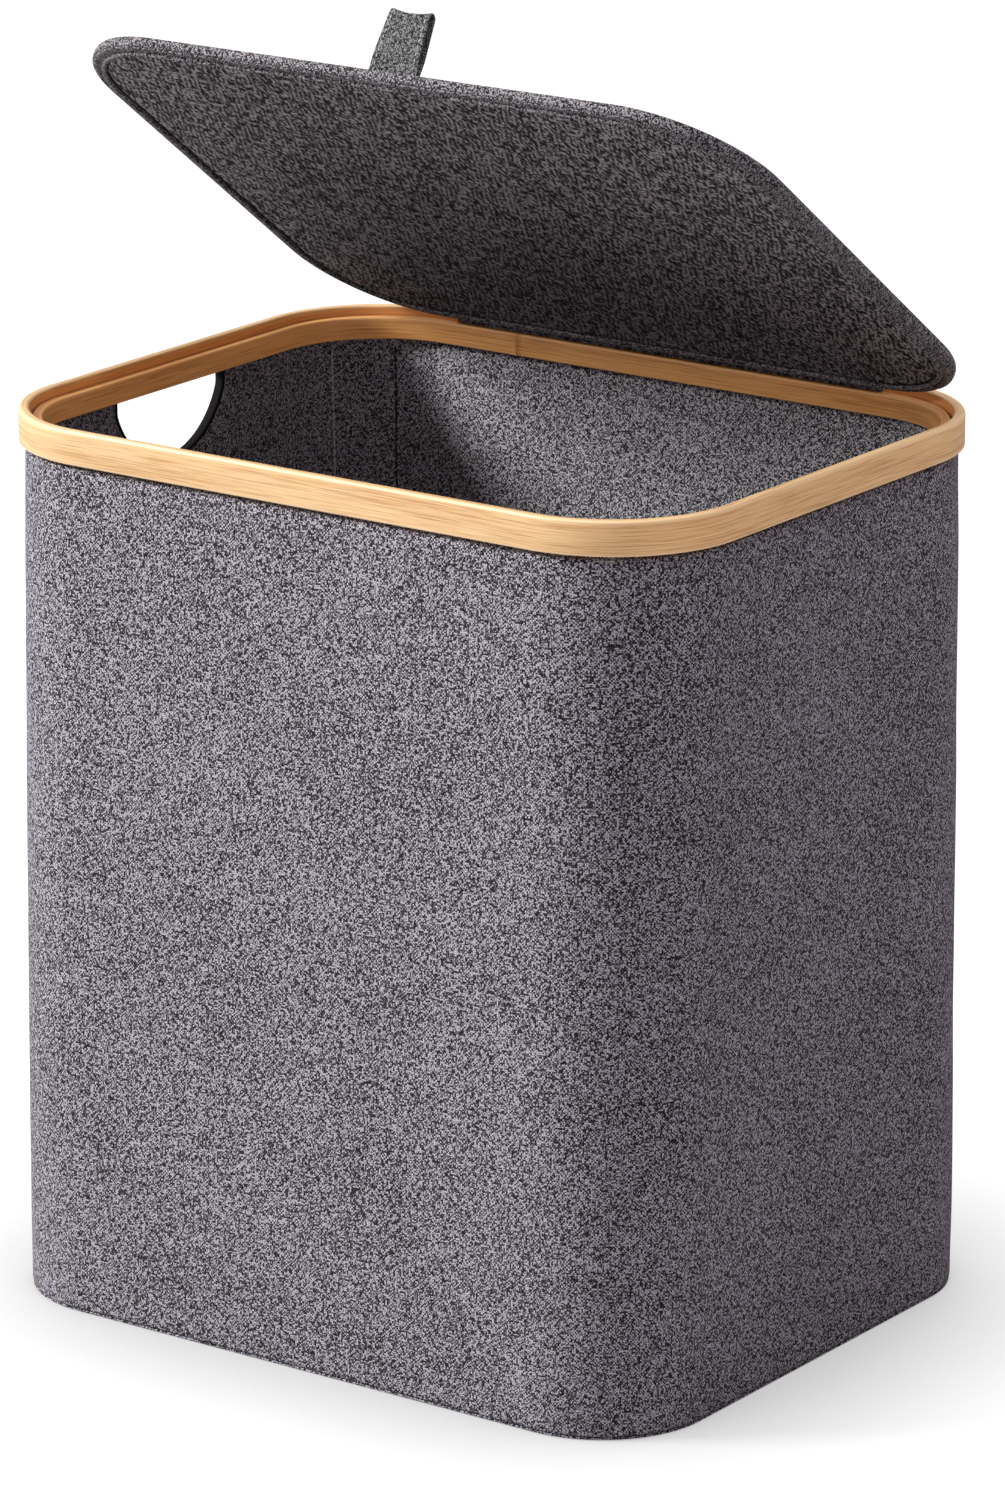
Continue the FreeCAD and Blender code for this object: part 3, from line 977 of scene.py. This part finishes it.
def lining_seams(name, angle, material, length, gap, width):
    """Stitches up the lining at an angle of each corner."""
    rows = []
    for station in [corner_station(corner, angle) for corner in (1, 3, 5, 7)]:
        inward = -wall_point(station, 0.1, 0)[1]
        heights = steps(8 * MM, RIM_BOTTOM - 4 * MM, 8 * MM)
        rows.append([(lining_point(station, z, 0.0), inward) for z in heights])
    stitches = stitch_rows(name, rows, material, length * MM, gap * MM, width * MM)
    wear(stitches, "basket", "dark_fabric")


lining_seams("lining_side_stitches", SIDE_SEAM_DEG, LIGHT_THREAD, 2.4, 1.6, 0.8)
lining_seams("lining_middle_stitches", MIDDLE_SEAM_DEG, LIGHT_THREAD, 5.0, 0.3, 1.1)
# the long seams' stitches are a continuous dark cord, 1.8 mm wide, which also paints the shade
# along each seam's step
lining_seams("lining_long_stitches", LONG_SEAM_DEG, DARK_THREAD, 5.0, 0.2, 1.8)

TAPE_STEPS = 60
tape_path = resample(hand_hole_edge(0), [k / TAPE_STEPS for k in range(TAPE_STEPS + 1)])
tape_section = [(-0.15, 1.5), (-0.4, 1.0), (-0.42, 0.5), (-0.25, 0.15), (0.3, 0.0), (1.5, -0.1)]
tape_section += [(3.0, -0.1), (4.2, 0.0), (4.75, 0.2), (5.0, 0.7), (5.05, 1.4), (4.85, 2.2)]


def tape_point(k, part):
    """Point at a step of the hole's edge. part is (depth into the wall, distance outwards)."""
    (y, z), (depth, out) = tape_path[k], part
    before, after = tape_path[max(0, k - 1)], tape_path[min(TAPE_STEPS, k + 1)]
    ahead = Vector((after[0] - before[0], after[1] - before[1])).normalized()
    wall_x = wall_point(left_station(y), z, COVER_INSET)[0].x
    return wall_x + depth, y - ahead.y * out, z + ahead.x * out


tape_length = lengths_along([tuple(p) for p in tape_path])
tape = ribbon(
    "hand_hole_tape",
    [(distance, k) for k, distance in enumerate(tape_length)],
    [(depth * MM, out * MM) for depth, out in tape_section],
    tape_point,
    TAPE,
)
thicken(tape, 0.35 * MM)
wear(tape, "basket", "tape", "grip_tape")


def floor_size(inset):
    """Outline of a floor panel, drawn in by inset from the cover's foot."""
    half_x = RIM_X - COVER_INSET - FLOOR_NARROWER_X - inset
    half_y = RIM_Y - COVER_INSET + FLOOR_DEEPER_Y - inset
    radius = CORNER_R - COVER_INSET - FLOOR_CORNER_TIGHTER - inset
    return half_x, -half_y, half_y, radius


def level(x, y):
    return 0.0


foot_rows = [(1.7, 1.55), (1.0, 1.35), (0.55, 0.95), (0.5, 0.5), (1.1, 0.1), (3.0, 0.0)]
bottom_cover = pad(
    "bottom_cover_cloth",
    floor_size(0),
    [(inset * MM, z * MM) for inset, z in reversed(foot_rows)],
    GREY_CLOTH,
    bottom=level,
    step=9 * MM,
)
thicken(bottom_cover, 0.8 * MM)
wear(bottom_cover, "basket", "grey_fabric", "bottom_cover")

fold = [(3.0, 5.6), (2.2, 5.4), (1.9, 4.6), (1.9, 1.6), (2.1, 1.1), (4.0, 1.1), (4.3, 1.6)]
fold += [(4.3, 4.6), (4.0, 5.4), (3.2, 5.6)]


def binding_point(station, part):
    return wall_point(station, part[1], COVER_INSET + part[0])[0]


binding_run = stations(REAR_MIDDLE, REAR_MIDDLE + 8)
binding = ribbon(
    "bottom_binding_tape",
    [(run_length(station, COVER_INSET), station) for station in binding_run],
    [(step_in * MM, z * MM) for step_in, z in fold],
    binding_point,
    TAPE,
)
wear(binding, "basket", "tape", "bottom_binding")

bottom_lining = pad(
    "bottom_lining_cloth",
    floor_size(INNER_RING_INSET - COVER_INSET + 0.2 * MM),
    [(0.0, 2.6 * MM), (0.6 * MM, 2.1 * MM), (2 * MM, 2.0 * MM)],
    DARK_CLOTH,
    top=level,
    step=9 * MM,
)
thicken(bottom_lining, 0.8 * MM)
wear(bottom_lining, "basket", "dark_fabric", "bottom_lining")

# ---------------- loose base panel

PANEL_LOW, PANEL_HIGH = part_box("base_cover")[0].z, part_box("base_cover")[1].z
CORE_LOW, CORE_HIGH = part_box("base_core")[0].z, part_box("base_core")[1].z
PANEL_X, PANEL_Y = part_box("base_cover")[1].xy


def panel_size(inset):
    """Outline of the base panel, drawn in by inset. It is short enough for the floor, and
    shallow and round enough at its corners to be lifted out past the wall's upper part."""
    half_x = PANEL_X - FLOOR_NARROWER_X - 0.6 * MM - inset
    half_y = PANEL_Y - 0.9 * MM - inset
    return half_x, -half_y, half_y, CORNER_R - (RIM_Y - PANEL_Y) - inset


def panel_rise(x, y):
    return swell(Vector((x, y, 0)), (0.12, 0.5 * MM), (0.04, 0.2 * MM))


edge_drop = (PANEL_HIGH - PANEL_LOW) / 2
panel_edge = [(3.0 * MM, 0.0), (1.2 * MM, 0.2 * MM), (0.3 * MM, 1 * MM), (0.0, edge_drop)]
panel_rows = [(inset, PANEL_LOW + up) for inset, up in panel_edge]
panel_rows += [(inset, PANEL_HIGH - down) for inset, down in reversed(panel_edge[:-1])]
panel = pad("base_panel_cover", panel_size(0.0), panel_rows, DARK_CLOTH, level, panel_rise)
wear(panel, "base_panel", "dark_fabric", "base_cover")
core_rows = [(0.4 * MM, CORE_LOW), (0.0, CORE_LOW + 0.4 * MM), (0.0, CORE_HIGH - 0.4 * MM)]
core_rows += [(0.4 * MM, CORE_HIGH)]
core = pad(
    "base_panel_core", panel_size(1.2 * MM), core_rows, BOARD, level, level, step=9 * MM
)
wear(core, "base_panel", "stiffener", "base_core")

# ---------------- lid, drawn closed and then opened

LID_SIZE = (LID_HALF_X, LID_FRONT, LID_REAR, LID_R)


def open_lid(piece):
    piece.data.transform(OPEN_LID)
    return piece


def lid_rows(rows):
    """Rows given as (inset, height over the lid's underside) in millimetres."""
    return [(inset * MM, LID_BOTTOM + z * MM) for inset, z in rows]


def lid_crown(x, y):
    return swell(Vector((x, y, 1)), (0.13, 0.5 * MM), (0.04, 0.15 * MM))


def lid_sag(x, y):
    return 0.25 * MM - swell(Vector((x, y, 2)), (0.12, 0.55 * MM), (0.035, 0.2 * MM))


top_rows = [(2.4, 1.2), (1.3, 1.05), (0.75, 0.85), (0.3, 1.1), (0.0, 1.9), (-0.2, 3.2)]
top_rows += [(-0.15, 4.5), (0.15, 5.6), (0.8, 6.5), (1.9, 6.95), (3.5, 7.1), (7.0, 7.2)]
top_rows += [(14.0, 7.25)]
lid_top = pad("lid_top_cloth", LID_SIZE, lid_rows(top_rows), LID_CLOTH, top=lid_crown)
thicken(open_lid(lid_top), 0.6 * MM)
wear(lid_top, "lid", "dark_fabric", "lid_top_cover")

underside_rows = [(16.0, 0.25), (12.0, 0.25), (10.6, 0.35), (9.9, 0.7), (9.4, 1.15), (8.0, 1.3)]
underside = pad(
    "lid_underside_cloth", LID_SIZE, lid_rows(underside_rows), SHADED_UNDERSIDE_CLOTH, bottom=lid_sag
)
thicken(open_lid(underside), 0.6 * MM)
wear(underside, "lid", "dark_fabric", "lid_underside")

border = [(3.2, 1.25), (6.8, 1.2), (8.4, 1.0), (8.85, 0.4), (8.95, -0.4), (8.6, -1.1), (8.0, -1.45)]
border += [(7.3, -1.5), (6.65, -1.2), (6.3, -0.6), (6.15, 0.2), (5.8, 0.65), (5.1, 0.6), (4.5, 0.1)]
border += [(3.4, -0.1), (2.2, -0.08), (1.4, 0.2), (1.05, 0.7), (1.25, 1.05), (2.9, 1.25)]
lid_border = pad("lid_edge_binding", LID_SIZE, lid_rows(border), LID_CLOTH, step=5 * MM)
wear(open_lid(lid_border), "lid", "dark_fabric", "lid_binding")

foam_rows = [(1.6, 4.5), (0.9, 4.7), (0.8, 5.2), (1.5, 5.9), (3.0, 6.2), (14.0, 6.4)]
foam = pad("lid_foam_pad", LID_SIZE, lid_rows(foam_rows), FOAM, level, level, step=9 * MM)
wear(open_lid(foam), "lid", "foam", "lid_foam")

anchor_reach, anchor_z = 8 * MM, LID_BOTTOM + 6.9 * MM
anchor_steps = steps(LOOP_ROOT.y - anchor_reach, LOOP_ROOT.y + anchor_reach, 4 * MM)
anchor = strap_sheet(
    "pull_loop_tails",
    [(y, anchor_z) for y in anchor_steps],
    LOOP_HALF_W,
    0.8 * MM,
    STRAP_CLOTH,
)
wear(open_lid(anchor), "lid", "strap", "pull_loop_anchor")


def on_lid(x, y, z, outward=(0, 0, 1)):
    """A (point, direction) pair given as the lid lies closed, and turned as it stands open."""
    return OPEN_LID @ Vector((x, y, z)), OPEN_LID.to_3x3() @ Vector(outward)


rear_reach = 146 * MM / (LID_HALF_X - LID_R) / 2
rear_row = []
for station in steps(REAR_MIDDLE - rear_reach, REAR_MIDDLE + rear_reach, 0.02):
    place = pad_point(station, LID_SIZE, 3.4 * MM)
    rear_row.append(on_lid(place.x, place.y, LID_BOTTOM - 0.12 * MM, (0, 0, -1)))
rear_stitches = stitch_rows(
    "lid_rear_stitches", [rear_row], LIGHT_THREAD, 3.4 * MM, 1.6 * MM, 0.6 * MM, 0.78
)
wear(rear_stitches, "lid", "dark_fabric")

HINGE_HALF_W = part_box("lid_hinge_strip")[1].x
HINGE_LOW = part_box("lid_hinge_strip")[0].z
hinge_y, hinge_z = hinge["pos_m"][1], hinge["pos_m"][2]
strip_path = [(hinge_y - 0.5 * MM, z) for z in steps(HINGE_LOW, hinge_z - 2.5 * MM, 2 * MM)]
strip_path += [(hinge_y - 0.35 * MM, hinge_z - 1.2 * MM), (hinge_y - 0.1 * MM, hinge_z - 0.2 * MM)]
for reach, lift in ((0.2, 0.35), (1.5, 0.7), (3.5, 0.8), (6, 0.8), (9, 0.7), (12, 0.65), (13, 0.5)):
    opened = OPEN_LID @ Vector((0, hinge_y - reach * MM, LID_TOP + lift * MM))
    strip_path.append((opened.y, opened.z))


def strip_point(x, part):
    return x, *part


strip = ribbon(
    "hinge_strip_cloth",
    [(x, x) for x in steps(-HINGE_HALF_W, HINGE_HALF_W, 8 * MM)],
    strip_path,
    strip_point,
    LID_CLOTH,
    flip=True,
)
thicken(strip, 0.5 * MM)
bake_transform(strip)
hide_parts("lid_hinge_strip")

strip_row = [
    on_lid(x, hinge_y - 10 * MM, LID_TOP + 1.0 * MM)
    for x in steps(-HINGE_HALF_W + 3 * MM, HINGE_HALF_W - 3 * MM, 10 * MM)
]
# the box of stitches that holds the strap's tails
box_half_w, box_low, box_high = 13 * MM, LOOP_ROOT.y + 5 * MM, LOOP_ROOT.y + 13 * MM
box_rows = [[(x, box_low), (x, box_high)] for x in (-box_half_w, box_half_w)]
box_rows += [[(-box_half_w, y), (box_half_w, y)] for y in (box_low, box_high)]
box_rows = [[on_lid(x, y, LID_TOP + 0.6 * MM) for x, y in row] for row in box_rows]
lid_stitches = stitch_rows("lid_top_stitches", [strip_row, *box_rows], DARK_THREAD)
wear(lid_stitches, "lid", "dark_fabric")

# ---------------- pull loop

half_gap, root_gap = LOOP_GAP / 2 + LOOP_STRAP_T / 2, LOOP_STRAP_T / 2
shoulder = LOOP_LENGTH - LOOP_STRAP_T / 2 - half_gap
leg = []
for rise in steps(-0.9 * MM, shoulder, 1.5 * MM):
    leg.append((root_gap + (half_gap - root_gap) * smooth(rise / (16 * MM)), rise))
TURN_STEPS = 14
turn = [math.pi * k / TURN_STEPS for k in range(1, TURN_STEPS)]
loop_path = [(-y, z) for y, z in leg]
loop_path += [(-half_gap * math.cos(a), shoulder + half_gap * math.sin(a)) for a in turn]
loop_path += [(y, z) for y, z in reversed(leg)]
loop_path = [(LOOP_ROOT.y + y, LOOP_ROOT.z + z) for y, z in loop_path]
loop = strap_sheet(
    "pull_loop_strap",
    loop_path,
    LOOP_HALF_W,
    LOOP_STRAP_T,
    STRAP_CLOTH,
    dip=1.8 * MM,
    taper=LOOP_TAPER,
)
wear(open_lid(loop), "pull_loop", "strap", "pull_loop")

loop_rows = []
for leg_side in (-1, 1):
    for x in (-1, 1):
        row = []
        for y, rise in leg[2:-1]:
            face = LOOP_ROOT.y + leg_side * (y + LOOP_STRAP_T / 2)
            from_middle = x * (LOOP_HALF_W - 3 * MM)
            from_middle -= LOOP_TAPER * rise / LOOP_LENGTH * (1 + from_middle / LOOP_HALF_W) / 2
            row.append(on_lid(from_middle, face, LOOP_ROOT.z + rise, (0, leg_side, 0)))
        loop_rows.append(row)
loop_stitches = stitch_rows(
    "pull_loop_stitches", loop_rows, LIGHT_THREAD, 2.2 * MM, 1.4 * MM, 0.5 * MM, 0.45
)
wear(loop_stitches, "pull_loop", "strap")

# ---------------- CAD nodes that stay

for node, material in (("ring_brads", STEEL), ("lid_board", BOARD)):
    materials = frame["nodes"][node].data.materials
    materials.clear()
    materials.append(material)
